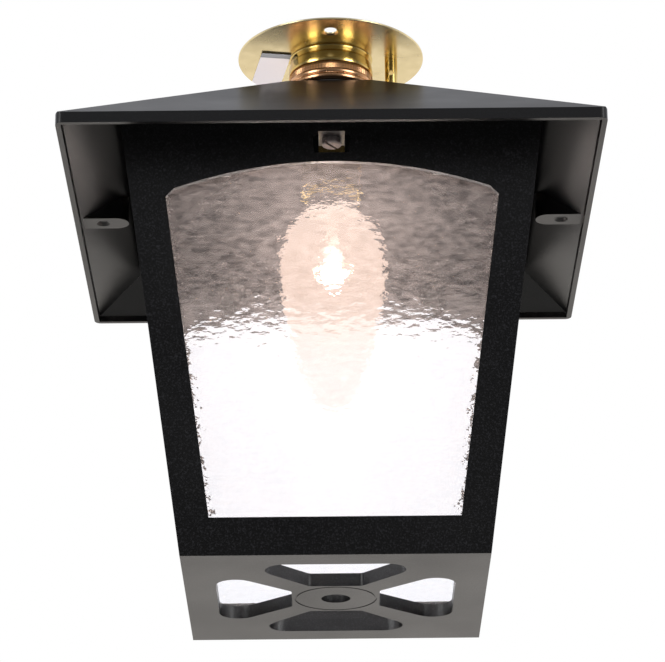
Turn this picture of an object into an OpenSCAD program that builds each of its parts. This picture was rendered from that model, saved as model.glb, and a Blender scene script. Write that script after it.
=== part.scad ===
// Porch ceiling lantern: a cast square lantern hung from a brass bayonet lampholder on a ceiling disc.
// Frame: millimetres, +Z up, -Y front. The origin is the middle of the disc's top face, on the ceiling.

/* [Ceiling disc] */
// Diameter of the ceiling disc
disc_d = 81; // [76:1:96]
// Thickness of the ceiling disc
disc_t = 1; // [0.8:0.1:2]
// Diameter of the circle that the fixing holes lie on
fix_pcd = 57.6; // [54:0.2:62]
// Number of fixing holes
fix_n = 2; // [2:1:3]
// Diameter of each fixing hole
fix_d = 5.5; // [4:0.1:6]
// Diameter of the countersink under each fixing hole
fix_csk_d = 7.8; // [6.6:0.1:9]
// Diameter of the cable hole in the middle of the disc
cable_d = 16; // [10:1:18]

/* [Earth terminal] */
// Distance of the earth pillar from the middle
earth_r = 26.4; // [25:0.1:32]
// Diameter of the earth pillar
earth_d = 5.5; // [5:0.1:6.5]
// Length of the earth pillar under the disc
earth_len = 13; // [11:0.5:16]
// Diameter of the wire hole through the pillar
earth_hole_d = 2.4; // [2:0.1:3]
// Depth of the wire hole under the disc
earth_hole_drop = 7.2; // [5:0.1:8]
// Diameter of the pillar's clamp screw
earth_screw_d = 3; // [2.5:0.1:3.5]

/* [Lampholder collar] */
// Height of the collar under the disc
collar_h = 8; // [7:0.5:12]
// Diameter of the collar's upper band
collar_d = 34.8; // [33:0.2:37]
// Diameter of the collar at its lower edge
collar_low_d = 36.8; // [35:0.2:40]
// Height of the collar's upper band
collar_band = 2.9; // [2:0.1:4]
// Thickness of the web that closes the collar under the disc
web_t = 2.5; // [2:0.1:3.5]
// Radius of the circle of the screws that hold the collar to the disc
collar_screw_r = 11.6; // [11:0.1:12.5]
// Diameter of those screws
collar_screw_d = 3; // [2.5:0.1:3]

/* [Lampholder skirt and barrel] */
// Outside diameter of the threaded skirt
skirt_d = 28.4; // [28:0.1:30]
// Length of the threaded skirt below the collar
skirt_len = 29; // [28:0.5:36]
// Outside diameter of the bayonet barrel
barrel_d = 26; // [25.6:0.1:26.2]
// Inside diameter of the bayonet barrel
barrel_bore = 22.6; // [22.4:0.1:22.8]
// Length of the barrel below the skirt
barrel_len = 28.5; // [26:0.5:34]
// Height of the barrel's flange, and of the lip under it
lip_h = 2; // [1.5:0.1:3]
// Width of each bayonet slot
slot_w = 2.6; // [2.4:0.1:3]
// Turn between a slot's mouth and the place where the pin rests, in degrees
slot_turn = 17; // [12:1:22]
// Travel of the lamp and its plungers when pushed up
push = 1.5; // [1:0.1:2.5]

/* [Lampholder inside] */
// Height of the insulator above the barrel's flange
insulator_up = 20; // [17:0.5:22]
// Depth of the insulator inside the barrel
insulator_down = 8; // [6:0.5:10]
// Distance of each plunger from the middle
plunger_y = 4.3; // [3.9:0.1:4.6]
// Diameter of each plunger
plunger_d = 4.4; // [3.6:0.1:4.6]
// Diameter of each plunger's shoulder
plunger_head_d = 5.8; // [5.4:0.1:6]
// Length of the narrow part of each plunger's bore
plunger_guide = 5; // [4:0.5:6]
// Wire diameter of the plunger springs
spring_wire = 0.6; // [0.4:0.05:0.7]
// Number of turns of each plunger spring
spring_turns = 7; // [5:1:9]
// Length of each terminal block
terminal_len = 10; // [9:0.5:11]
// Height of the terminal blocks above the insulator
terminal_up = 4; // [3.5:0.1:5]
// Diameter of the terminal screws
terminal_screw_d = 2.6; // [2.2:0.1:3]

/* [Shade rings] */
// Outside diameter of each shade ring
ring_d = 37.4; // [35:0.2:42]
// Height of each shade ring
ring_h = 8.2; // [7:0.2:9]
// Number of knurls round each ring
knurls = 90; // [60:2:110]
// Depth of the knurls
knurl_depth = 0.3; // [0.2:0.05:0.5]
// Thickness of the gasket between the upper ring and the roof
gasket_t = 1.3; // [1:0.1:2]
// Diameter of the gasket
gasket_d = 33; // [31:0.5:34.5]
// Thickness of the steel washer over the lower ring
washer_t = 2; // [0.8:0.1:2.4]

/* [Roof] */
// Width of the roof across its eaves
roof_w = 220; // [200:5:250]
// Height of the roof from its eaves to its flat top
roof_h = 62; // [56:1:72]
// Height of the upright face round the eaves
fascia_h = 4.7; // [4:0.1:7]
// Width of the flat top
roof_flat = 35; // [34:0.5:40]
// Thickness of the sloping sides
roof_t = 3; // [2.5:0.1:4]
// Thickness of the flat top
roof_top_t = 5; // [3:0.1:5.6]
// Thickness of the eaves
eaves_t = 2.1; // [1.8:0.1:3]
// Radius of the roof's upright corners
roof_corner = 3; // [2:0.5:6]

/* [Roof lugs] */
// Distance of each lug's inner end from the middle
lug_in = 87.4; // [86:0.2:92]
// Width of each lug
lug_w = 11; // [9:0.5:14]
// Height of the lug's flat face above the eaves
lug_up = 3.2; // [2.5:0.1:4]
// Distance of the dimple from the middle
dimple_r = 98.4; // [96:0.2:100]
// Diameter of the dimple
dimple_d = 6; // [4:0.2:7]
// Depth of the dimple
dimple_depth = 1.2; // [0.6:0.1:1.5]

/* [Lantern body] */
// Width of the body at its base
base_w = 122.6; // [112:1:130]
// Width of the body level with the eaves
eaves_body_w = 168.2; // [160:1:170]
// Depth of the body below the eaves
body_h = 165.2; // [150:2:190]
// Height of the body above the eaves
body_up = 12; // [11:0.5:14]
// Thickness of the body's sides
wall = 3.2; // [2.8:0.1:4]
// Thickness of the top flange
flange_t = 5.3; // [4:0.1:6]
// Width of the top flange, measured from the face of the body
flange_w = 14.5; // [13.5:0.5:20]
// Radius of the corners of the opening in the top flange
flange_r = 6; // [3:0.5:10]

/* [Windows] */
// Height of the window's sill above the base
sill = 15.1; // [14:0.5:22]
// Width of the window at its sill
sill_w = 99.7; // [88:0.5:102]
// Drop of the window's top corners below the eaves
head_rail = 18; // [17:0.2:30.2]
// Width of the window at its top corners
spring_w = 135; // [120:1:136]
// Rise of the arch over the top corners
arch_rise = 12.1; // [8:0.1:13]
// Size of the small chamfer at each top corner
corner_cut = 2; // [1:0.1:4]

/* [Screw notches] */
// Width of the notch in the front and back, at the outside
notch_w = 16; // [14:0.5:18]
// Width of the notch at the inside
notch_in_w = 10.6; // [9.4:0.2:12]
// Depth of the notch below the eaves
notch_down = 2.2; // [1:0.1:2.4]
// Size of the notch's upper corner cuts
notch_cut = 2.6; // [1:0.1:3]

/* [Base] */
// Thickness of the base plate
base_t = 5.4; // [4.5:0.1:7]
// Distance of each opening's outer side from the middle
open_out = 48.5; // [44:0.5:50]
// Distance of each opening's inner side from the middle
open_in = 18; // [17.5:0.5:22]
// Half length of each opening's inner side
open_in_half = 10.7; // [7:0.1:11]
// Half length of each opening's outer side
open_out_half = 38.2; // [32:0.2:39]
// Radius of the openings' outer corners
open_out_r = 8; // [4:0.5:10]
// Radius of the openings' inner corners
open_in_r = 2.5; // [1:0.1:3]
// Diameter of the hole in the middle of the base
hole_d = 12; // [8:0.5:16]
// Diameter of the fine groove round that hole
witness_d = 33; // [30:0.5:34]

/* [Glazing] */
// Thickness of the glass panes
glass_t = 3; // [2.5:0.1:4]
// Overlap of each pane behind the window's sides
glass_lap = 4.6; // [3:0.1:5]
// Overlap of each pane over the crown of the arch
glass_over = 3; // [2:0.1:4]
// Height of the upstands that hold the bottom of the panes
upstand_h = 6; // [4:0.5:8]
// Thickness of the upstands
upstand_t = 2.5; // [2:0.1:3]
// Length of the upstands
upstand_len = 90; // [60:2:92]
// Distance of each glass clip from the middle of its side
clip_x = 45; // [30:1:56]
// Height of the clip screws over the top of the panes
clip_rise = 4.6; // [4:0.1:5.4]
// Width of each glass clip
clip_w = 8; // [7:0.5:10]
// Thickness of each glass clip
clip_t = 0.8; // [0.6:0.1:1.2]
// Length of the clip below its screw
clip_down = 12; // [10:0.5:14]
// Diameter of the clip screws
clip_screw_d = 2.9; // [2.5:0.1:3.5]

/* [Body screws] */
// Distance of each body screw from the face of the body
screw_in = 9; // [8.8:0.05:9.45]
// Diameter of the body screws
screw_d = 4; // [3.5:0.1:4]
// Length of the body screws under the head
screw_len = 12; // [10:0.5:14]
// Diameter of the screw heads
head_d = 8; // [7:0.1:8]
// Height of the screw heads
head_h = 2.6; // [2:0.1:3]
// Angle of the slot in the visible screw head, in degrees
head_slot_angle = 55; // [0:5:90]
// Width of the cast bosses that take the screws
boss_w = 13; // [11:0.5:16]

/* [Lamp] */
// Diameter of the lamp cap
cap_d = 22; // [21.8:0.1:22.2]
// Height of the lamp cap
cap_h = 25; // [24:0.5:27]
// Depth of the lamp cap inside the barrel
cap_in = 18; // [15:0.5:18.5]
// Thickness of the lamp cap's shell
cap_t = 0.6; // [0.4:0.1:0.8]
// Drop of the cap's pins below its top
pin_drop = 6.5; // [6:0.1:7]
// Diameter of the cap's pins
pin_d = 2; // [1.8:0.1:2.1]
// Diameter of the lamp's glass at its widest
bulb_d = 45; // [35:1:46]
// Length of the lamp's glass below the cap
bulb_len = 91; // [70:1:96]
// Thickness of the lamp's glass
bulb_t = 0.8; // [0.6:0.1:1.2]
// Width of the lamp's glass at the foot of the cap, as a share of its widest
bulb_throat = 0.43; // [0.4:0.01:0.45]
// Drop of the filament below the cap
filament_drop = 27; // [22:0.5:32]
// Width of the filament
filament_w = 15; // [10:0.5:18]
// Height of the lamp's neck inside the cap
neck_up = 8; // [6:0.5:10]
// Height of the stem's flare above the foot of the cap
stem_up = 6; // [4:0.5:6]
// Thickness of the stem's flare
stem_t = 1.4; // [1:0.1:2]

/* [Clearances] */
// Radial play of a thread or a running fit
fit = 0.05; // [0.03:0.01:0.08]
// Gap between pieces that turn past each other
gap = 0.2; // [0.2:0.05:0.3]
// Radial play of the roof on the skirt
roof_play = 0.4; // [0.3:0.05:0.6]
// Play of a screw in its clearance hole
hole_play = 0.25; // [0.2:0.05:0.4]
// Play of a pane in its groove
glass_play = 0.3; // [0.2:0.05:0.5]

/* [Hidden] */
$fn = 96;
eps = 0.01;
over = 20;

// Heights down from the ceiling
z_plate = -disc_t;
z_web = z_plate - web_t;
z_collar = z_plate - collar_h;
z_ring = z_collar - gap;
z_gasket = z_ring - ring_h;
z_roof = z_gasket - gasket_t;
z_washer = z_roof - roof_top_t;
z_low_ring = z_washer - washer_t;
z_skirt = z_collar - skirt_len;
z_flange = z_skirt + lip_h;
z_mouth = z_skirt - barrel_len;
z_eaves = z_roof - roof_h;
z_base = z_eaves - body_h;
z_top = z_eaves + body_up;
z_under = z_top - flange_t;

// Lampholder
skirt_r = skirt_d / 2;
skirt_bore = barrel_d / 2 + fit + 0.35;
barrel_r = barrel_d / 2;
bore_r = barrel_bore / 2;
z_insulator = z_flange + lip_h + insulator_up;
z_insulator_low = z_flange + lip_h - insulator_down;
z_cap = z_mouth + cap_in;
z_pin = z_cap - pin_drop;
contact_t = 0.4;
vitrite_t = 1.2;
z_plunger = z_cap + vitrite_t + contact_t;
z_ledge = z_insulator_low + plunger_guide;
z_shoulder = z_ledge + push + 1.2;
shoulder_h = 2;
z_spring = z_shoulder + shoulder_h + gap;
z_terminal = z_insulator + terminal_up - terminal_len;

// Body
taper = (eaves_body_w - base_w) / 2 / body_h;
lean = atan(taper);
stretch = 1 / cos(lean);
function half_at(z) = base_w / 2 + taper * (z - z_base);
opening_half = half_at(z_under) - flange_w;
screw_y = half_at(z_under) - screw_in;
spring_h = body_h - head_rail;
glass_top = spring_h + arch_rise + glass_over;
glass_foot = base_t + glass_play;
clip_up = glass_top + clip_rise;
side_slope = (spring_w - sill_w) / 2 / (spring_h - sill);
function window_half(h) = sill_w / 2 + side_slope * (h - sill);
arch_r = (pow(spring_w / 2, 2) + pow(arch_rise, 2)) / 2 / arch_rise;

// Roof
roof_slope = (roof_h - fascia_h) / (roof_w - roof_flat) * 2;
slope_drop = roof_t / cos(atan(roof_slope));
function roof_under(x) = z_eaves + fascia_h + roof_slope * (roof_w / 2 - x) - slope_drop;
eaves_draft = 0.4;

// Lamp
z_cap_low = z_cap - cap_h;
neck_r = cap_d / 2 - cap_t - 0.4;
throat_r = bulb_d / 2 * bulb_throat - bulb_t;
stem_r = throat_r + (neck_r - bulb_t - throat_r) * stem_up / neck_up - fit;
z_filament = z_cap_low - filament_drop;
z_stem = z_filament + filament_w * 0.4;
stem_tip_r = 1.6;
wire_d = 0.6;

// ---- Helpers ----

// Points of a closed outline with its corners rounded: each item is [x, y, radius].
function unit(v) = v / norm(v);
function corner_points(a, p, b, r, n = 8) =
    let (
        u = unit([a.x - p.x, a.y - p.y]),
        w = unit([b.x - p.x, b.y - p.y]),
        half = acos(u * w) / 2,
        mid = unit(u + w),
        c = [p.x, p.y] + mid * r / sin(half),
        s = c - u * (u * (c - [p.x, p.y])) - [p.x, p.y],
        e = c - w * (w * (c - [p.x, p.y])) - [p.x, p.y],
        a0 = atan2(-s.y, -s.x),
        a1 = atan2(-e.y, -e.x),
        sweep = (a1 - a0 + 540) % 360 - 180
    )
    [for (i = [0:n]) c + r * [cos(a0 + sweep * i / n), sin(a0 + sweep * i / n)]];
function rounded(points) =
    let (n = len(points))
    [for (i = [0:n - 1])
        each points[i][2] == 0
            ? [[points[i].x, points[i].y]]
            : corner_points(points[(i + n - 1) % n], points[i], points[(i + 1) % n], points[i][2])];

// A square with true round corners, centred.
module rounded_square(half, r) {
    square([2 * half, 2 * (half - r)], center = true);
    square([2 * (half - r), 2 * half], center = true);
    for (x = [-1, 1], y = [-1, 1]) translate([x, y] * (half - r)) circle(r);
}

// What a profile in X and Z leaves when it is swept straight along Y and along X.
module crossed(half) {
    intersection() {
        rotate([90, 0, 0]) translate([0, 0, -half]) linear_extrude(2 * half) children();
        rotate([90, 0, 90]) translate([0, 0, -half]) linear_extrude(2 * half) children();
    }
}

// A square block that follows the body's taper, set in from its faces.
module tapered_block(inset, z0, z1) {
    a = half_at(z0) - inset * stretch;
    b = half_at(z1) - inset * stretch;
    crossed(b + over) polygon([[-a, z0], [a, z0], [b, z1], [-b, z1]]);
}

// Places children on side k: X along the side, Z up its face, +Y into the body.
module on_side(k) {
    rotate([0, 0, 90 * k]) translate([0, -base_w / 2, z_base]) rotate([lean, 0, 0]) children();
}

// Sweeps an outline in X and Z from y0 to y1.
module plate_y(y0, y1) {
    rotate([90, 0, 0]) translate([0, 0, -y1]) linear_extrude(y1 - y0) children();
}

module bore(r, z0, z1) {
    translate([0, 0, z0]) cylinder(r = r, h = z1 - z0);
}

module tube(r, r_in, z0, z1) {
    difference() {
        bore(r, z0, z1);
        bore(r_in, z0 - 1, z1 + 1);
    }
}

// ---- Ceiling disc and earth terminal ----

module ceiling_disc() {
    color("#c9a24a") difference() {
        rotate_extrude() polygon([
            [0, z_plate], [disc_d / 2 - 0.2, z_plate], [disc_d / 2, z_plate + 0.2],
            [disc_d / 2, -0.2], [disc_d / 2 - 0.2, 0], [0, 0]
        ]);
        bore(cable_d / 2, z_plate - 1, 1);
        for (i = [0:fix_n - 1]) rotate([0, 0, 360 / fix_n * i - 90]) translate([fix_pcd / 2, 0, 0]) {
            bore(fix_d / 2, z_plate - 1, 1);
            translate([0, 0, z_plate - eps])
                cylinder(r1 = fix_csk_d / 2, r2 = fix_d / 2, h = disc_t * 0.5);
        }
        translate([earth_r, 0, 0]) bore(earth_screw_d / 2 + fit, z_plate - 1, 1);
        for (x = [-1, 1]) translate([x * collar_screw_r, 0, 0]) {
            bore(collar_screw_d / 2 + hole_play, z_plate - 1, 1);
            translate([0, 0, -0.9 * disc_t]) cylinder(
                r1 = collar_screw_d / 2 + hole_play, r2 = collar_screw_d + eps, h = 0.9 * disc_t + eps);
        }
    }
}

module collar_screws() {
    color("#b98f3a") for (x = [-1, 1]) translate([x * collar_screw_r, 0, 0]) difference() {
        union() {
            bore(collar_screw_d / 2, z_web - 1.2, -disc_t / 2);
            translate([0, 0, -0.9 * disc_t])
                cylinder(r1 = collar_screw_d / 2, r2 = collar_screw_d - hole_play, h = 0.9 * disc_t - 0.05);
        }
        translate([-collar_screw_d, -0.4, -disc_t * 0.45]) cube([2 * collar_screw_d, 0.8, disc_t]);
    }
}

module earth_pillar() {
    color("#b98f3a") translate([earth_r, 0, 0]) difference() {
        union() {
            bore(earth_screw_d / 2, z_plate - 1, -0.1);
            rotate_extrude() polygon([
                [0, z_plate - earth_len], [earth_d / 2 - 0.4, z_plate - earth_len],
                [earth_d / 2, z_plate - earth_len + 0.4], [earth_d / 2, z_plate], [0, z_plate]
            ]);
        }
        translate([0, 0, z_plate - earth_hole_drop]) rotate([90, 0, 0])
            cylinder(r = earth_hole_d / 2, h = earth_d + 2, center = true);
        bore(earth_screw_d / 2 + fit, z_plate - earth_len - 1, z_plate - earth_hole_drop);
    }
}

module earth_clamp_screw() {
    length = earth_len - earth_hole_drop - earth_hole_d / 2 - gap;
    color("#9a9a96") translate([earth_r, 0, z_plate - earth_len]) difference() {
        union() {
            bore(earth_screw_d / 2, -0.5, length);
            bore(earth_d / 2 - 0.2, -2, 0);
        }
        translate([-earth_d, -0.4, -2.5]) cube([2 * earth_d, 0.8, 1.3]);
    }
}

// ---- Lampholder ----

// The collar: a flared upper band, a fine groove and a wider band that ends over the shade ring.
module holder_collar() {
    top = collar_d / 2;
    low = collar_low_d / 2;
    z_band = z_plate - collar_band;
    flare = 0.9;
    color("#c9a24a") difference() {
        rotate_extrude() polygon(concat(
            [[0, z_plate], [top + flare, z_plate]],
            [for (a = [0:15:90]) [top + flare - flare * sin(a), z_plate - flare + flare * cos(a) - eps]],
            [[top, z_band + 0.3], [top - 0.4, z_band], [top - 0.4, z_band - 0.25]],
            [for (a = [0:15:90]) [top + 0.1 + 0.5 * sin(a), z_band - 0.75 + 0.5 * cos(a)]],
            [[low, z_collar + 0.8], [low - 0.3, z_collar], [0, z_collar]]
        ));
        bore(skirt_r + fit, z_collar - 1, z_web);
        bore(cable_d / 2, z_web - 1, z_plate + 1);
        for (x = [-1, 1]) translate([x * collar_screw_r, 0, 0])
            bore(collar_screw_d / 2 + fit, z_web - 1, z_plate + 1);
    }
}

module threaded_skirt() {
    color("#c9a24a") difference() {
        bore(skirt_r, z_skirt, z_web - gap);
        bore(skirt_bore, z_flange, 0);
        bore(barrel_r + fit, z_skirt - 1, z_flange + 1);
    }
}

// A sector from a0 to a1 degrees, out to radius r.
module sector(a0, a1, r) {
    polygon(concat([[0, 0]], [for (i = [0:6]) let (a = a0 + (a1 - a0) * i / 6) r * [cos(a), sin(a)]]));
}

// Each slot rises from the mouth, then runs level to the place where the pin rests.
module bayonet_barrel() {
    reach = asin((slot_w / 2 + gap) / bore_r);
    floor_z = z_pin - pin_d / 2 - 0.15;
    roof_z = z_pin + pin_d / 2 + push + gap;
    color("#c9a24a") difference() {
        union() {
            bore(barrel_r, z_mouth, z_flange + 1);
            bore(skirt_bore - fit, z_flange, z_flange + lip_h);
        }
        bore(bore_r, z_mouth - 1, 0);
        for (side = [0, 180]) rotate([0, 0, side]) {
            translate([0, 0, floor_z]) linear_extrude(roof_z - floor_z)
                sector(-slot_turn - reach, reach, barrel_d);
            rotate([0, 0, -slot_turn]) translate([0, -slot_w / 2, z_mouth - 1])
                cube([barrel_d, slot_w, z_pin - z_mouth + 1]);
        }
    }
}

module holder_insulator() {
    color("#efe9dc") difference() {
        union() {
            bore(skirt_bore - fit, z_flange + lip_h, z_insulator);
            bore(bore_r - fit, z_insulator_low, z_flange + lip_h + 1);
        }
        for (y = [-1, 1]) translate([0, y * plunger_y, 0]) {
            bore(plunger_d / 2 + fit, z_insulator_low - 1, z_ledge + 1);
            bore(plunger_head_d / 2 + fit, z_ledge, z_insulator + 1);
        }
    }
}

module terminal_blocks() {
    color("#b98f3a") for (y = [-1, 1]) translate([0, y * plunger_y, 0]) difference() {
        bore(plunger_head_d / 2, z_terminal, z_terminal + terminal_len);
        translate([0, 0, z_insulator + 1.6]) rotate([0, 90, 0])
            cylinder(r = 0.8, h = 2 * plunger_head_d, center = true);
        bore(terminal_screw_d / 2 + fit, z_insulator + 1.6, z_terminal + terminal_len + 1);
    }
}

module terminal_screws() {
    seat = z_insulator + 1.6 + 0.8 + gap;
    top = z_terminal + terminal_len + 0.6;
    color("#9a9a96") for (y = [-1, 1]) translate([0, y * plunger_y, 0]) difference() {
        bore(terminal_screw_d / 2, seat, top);
        translate([-terminal_screw_d, -0.3, top - 0.7]) cube([2 * terminal_screw_d, 0.6, 1]);
    }
}

// One coil spring from z0 to z1: a five-sided wire swept along a helix.
module spring(r, wire, z0, z1, turns) {
    steps = 12 * turns;
    sides = 5;
    rise = (z1 - z0 - wire) / steps;
    ring = [for (i = [0:steps], k = [0:sides - 1])
        let (a = 30 * i, b = 360 / sides * k, q = r + wire / 2 * cos(b))
        [q * cos(a), q * sin(a), z0 + wire / 2 + rise * i + wire / 2 * sin(b)]];
    skin = [for (i = [0:steps - 1], k = [0:sides - 1])
        let (a = i * sides + k, b = i * sides + (k + 1) % sides)
        each [[a, b, b + sides], [a, b + sides, a + sides]]];
    ends = [[for (k = [0:sides - 1]) sides - 1 - k], [for (k = [0:sides - 1]) steps * sides + k]];
    polyhedron(ring, concat(skin, ends), convexity = 10);
}

module plunger_springs() {
    coil_r = plunger_head_d / 2 - spring_wire / 2 - 0.2;
    color("#8f8f8b") for (y = [-1, 1]) translate([0, y * plunger_y, 0])
        spring(coil_r, spring_wire, z_spring, z_terminal - gap, spring_turns);
}

module contact_plungers() {
    color("#d8b25a") for (y = [-1, 1]) translate([0, y * plunger_y, 0]) union() {
        bore(plunger_d / 2, z_plunger + 0.5, z_shoulder + 1);
        bore(plunger_head_d / 2, z_shoulder, z_shoulder + shoulder_h);
        translate([0, 0, z_plunger]) cylinder(r1 = plunger_d / 2 - 0.5, r2 = plunger_d / 2, h = 0.5 + eps);
    }
}

// ---- Shade rings, gasket and washer ----

// A knurled band between two round beads, threaded inside.
module shade_ring(z) {
    outer = ring_d / 2;
    bead = ring_h * 0.17;
    root = outer - bead;
    module bead_at(h) {
        rotate_extrude() polygon(concat(
            [[skirt_r, h - bead]],
            [for (a = [-90:15:90]) [root + bead * cos(a), h + bead * sin(a)]],
            [[skirt_r, h + bead]]
        ));
    }
    difference() {
        union() {
            bead_at(z - ring_h + bead);
            bead_at(z - ring_h * 0.56);
            translate([0, 0, z - ring_h + bead]) linear_extrude(ring_h - 2 * bead)
                polygon([for (i = [0:2 * knurls - 1])
                    let (r = i % 2 == 0 ? outer - 0.35 : outer - 0.35 - knurl_depth, a = 180 / knurls * i)
                    r * [cos(a), sin(a)]]);
            translate([0, 0, z - bead - eps])
                cylinder(r1 = outer - 0.6 - knurl_depth, r2 = outer - 1.2, h = bead + eps);
        }
        bore(skirt_r + fit, z - ring_h - 1, z + 1);
    }
}

module upper_shade_ring() color("#c08a5c") shade_ring(z_ring);

module lower_shade_ring() color("#c08a5c") shade_ring(z_low_ring - gap);

module roof_gasket() color("#1b1b1b") tube(gasket_d / 2, skirt_r + gap, z_roof, z_gasket - gap);

module roof_washer() color("#9a9a96") tube(gasket_d / 2, skirt_r + gap, z_low_ring, z_washer);

// ---- Roof ----

module roof() {
    half = roof_w / 2;
    flat = roof_flat / 2;
    z_in = z_washer;
    flat_in = (z_eaves + fascia_h - slope_drop + roof_slope * half - z_in) / roof_slope;
    wall_in = half - eaves_t;
    wall_up = wall_in - eaves_draft;
    lug_h = roof_under(lug_in) + 1 - z_eaves - lug_up;
    color("#26262a") difference() {
        intersection() {
            union() {
                difference() {
                    crossed(half + over) polygon([
                        [-half, z_eaves], [half, z_eaves], [half, z_eaves + fascia_h],
                        [flat, z_roof], [-flat, z_roof], [-half, z_eaves + fascia_h]
                    ]);
                    crossed(half + over) polygon([
                        [-wall_in, z_eaves - 1], [wall_in, z_eaves - 1],
                        [wall_up, roof_under(wall_up)], [flat_in, z_in], [-flat_in, z_in],
                        [-wall_up, roof_under(wall_up)]
                    ]);
                }
                // Lugs at the middle of the left and right sides, just outside the body
                for (side = [0, 180]) rotate([0, 0, side]) difference() {
                    translate([0, 0, z_eaves + lug_up]) linear_extrude(lug_h) {
                        translate([lug_in + lug_w / 2, 0]) circle(lug_w / 2);
                        translate([lug_in + lug_w / 2, -lug_w / 2])
                            square([half - eaves_t / 2 - lug_in - lug_w / 2, lug_w]);
                    }
                    translate([dimple_r, 0, z_eaves + lug_up - eps])
                        cylinder(r1 = dimple_d / 2, r2 = dimple_d / 4, h = dimple_depth);
                }
                // Bosses that take the two body screws
                for (y = [-1, 1]) translate([0, y * screw_y, z_top])
                    linear_extrude(roof_under(screw_y) + 1 - z_top) rounded_square(boss_w / 2, 2);
            }
            // The upright corners are rounded
            translate([0, 0, z_eaves - 1]) linear_extrude(roof_h + 2) rounded_square(half, roof_corner);
            // Nothing stands out of the slopes
            crossed(half + over) polygon([
                [-half, z_eaves], [half, z_eaves], [half, z_eaves + fascia_h],
                [flat, z_roof], [-flat, z_roof], [-half, z_eaves + fascia_h]
            ]);
        }
        bore(skirt_r + roof_play, z_in - 1, z_roof + 1);
        for (y = [-1, 1]) translate([0, y * screw_y, 0])
            bore(screw_d / 2 + fit, z_top - 1, z_under + screw_len + 0.6);
    }
}

// ---- Lantern body ----

// The window's outline on the face of a side: straight sides, a low arch and cut corners.
module window_outline() {
    crown = (spring_h + arch_rise) * stretch;
    foot = window_half(sill);
    shoulder = window_half(spring_h - corner_cut);
    cut = arch_rise + corner_cut + 4;
    intersection() {
        polygon([
            [-foot, sill * stretch], [foot, sill * stretch],
            [shoulder, (spring_h - corner_cut) * stretch],
            [shoulder - cut, (spring_h - corner_cut + cut) * stretch],
            [-shoulder + cut, (spring_h - corner_cut + cut) * stretch],
            [-shoulder, (spring_h - corner_cut) * stretch]
        ]);
        translate([0, crown - arch_r]) circle(arch_r, $fn = 240);
    }
}

// The notch in the front and back, flared outwards, that shows the body screw.
module notch() {
    face = half_at(z_under);
    intersection() {
        translate([0, 0, z_eaves - notch_down]) linear_extrude(z_under - z_eaves + notch_down)
            polygon([
                [-notch_w / 2 - 1.7, -face - 2], [notch_w / 2 + 1.7, -face - 2],
                [notch_in_w / 2, -face + wall], [notch_in_w / 2, -face + wall + 4],
                [-notch_in_w / 2, -face + wall + 4], [-notch_in_w / 2, -face + wall]
            ]);
        plate_y(-face - 3, -face + wall + 3) polygon([
            [-notch_w / 2, z_eaves - notch_down], [notch_w / 2, z_eaves - notch_down],
            [notch_w / 2, z_under - notch_cut], [notch_w / 2 - notch_cut, z_under],
            [-notch_w / 2 + notch_cut, z_under], [-notch_w / 2, z_under - notch_cut]
        ]);
    }
}

// One opening of the base, in front of the middle.
module base_opening() {
    polygon(rounded([
        [-open_in_half, -open_in, open_in_r], [-open_out_half, -open_out, open_out_r],
        [open_out_half, -open_out, open_out_r], [open_in_half, -open_in, open_in_r]
    ]));
}

module body_casting() {
    color("#232327") difference() {
        union() {
            difference() {
                tapered_block(0, z_base, z_top);
                tapered_block(wall, z_base + base_t, z_under);
                translate([0, 0, z_under - 1]) linear_extrude(flange_t + 2)
                    rounded_square(opening_half, flange_r);
            }
            for (k = [0:3]) on_side(k) {
                // Upstand that holds the foot of the pane, rooted halfway into the base plate
                translate([-upstand_len / 2, wall + glass_t + glass_play, base_t / 4])
                    cube([upstand_len, upstand_t, (base_t * 3 / 4 + upstand_h) * stretch]);
                // Bosses that take the clip screws
                for (x = [-1, 1]) translate([x * clip_x, wall - 0.5, clip_up * stretch]) rotate([-90, 0, 0])
                    cylinder(r = clip_screw_d / 2 + 1.6, h = glass_t + 0.5);
            }
        }
        for (k = [0:3]) on_side(k) {
            plate_y(-over, wall + 1) window_outline();
            for (x = [-1, 1]) translate([x * clip_x, 1, clip_up * stretch]) rotate([-90, 0, 0])
                cylinder(r = clip_screw_d / 2 + fit, h = wall + glass_t);
        }
        for (k = [0, 2]) rotate([0, 0, 90 * k]) {
            notch();
            translate([0, -screw_y, 0]) bore(screw_d / 2 + hole_play, z_under - 1, z_top + 1);
        }
        for (k = [0:3]) rotate([0, 0, 90 * k]) translate([0, 0, z_base - 1])
            linear_extrude(base_t + 2) base_opening();
        bore(hole_d / 2, z_base - 1, z_base + base_t + 1);
        tube(witness_d / 2 + 0.4, witness_d / 2 - 0.4, z_base - 1, z_base + 0.3);
    }
}

// A slotted pan-head screw that points up: its head's seat is at z.
module body_screw(y, z, turn) {
    color("#a9a9a6") translate([0, y, z]) difference() {
        union() {
            bore(screw_d / 2, -0.5, screw_len);
            rotate_extrude() polygon(concat(
                [[0, -head_h]],
                [for (a = [0:15:90]) [head_d / 2 - 0.8 + 0.8 * sin(a), -head_h + 0.8 - 0.8 * cos(a)]],
                [[head_d / 2, 0], [0, 0]]
            ));
        }
        rotate([0, 0, turn]) translate([-head_d, -0.55, -head_h - 1]) cube([2 * head_d, 1.1, 2.1]);
    }
}

module body_screw_front() body_screw(-screw_y, z_under, head_slot_angle);

module body_screw_back() body_screw(screw_y, z_under, 90 - head_slot_angle);

// ---- Glazing ----

module pane(k) {
    foot = window_half(glass_foot) + glass_lap;
    head = window_half(glass_top) + glass_lap;
    color("#cfd8da", 0.35) on_side(k) plate_y(wall, wall + glass_t) polygon([
        [-foot, glass_foot * stretch], [foot, glass_foot * stretch],
        [head, glass_top * stretch], [-head, glass_top * stretch]
    ]);
}

module pane_front() pane(0);

module pane_right() pane(1);

module pane_back() pane(2);

module pane_left() pane(3);

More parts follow.
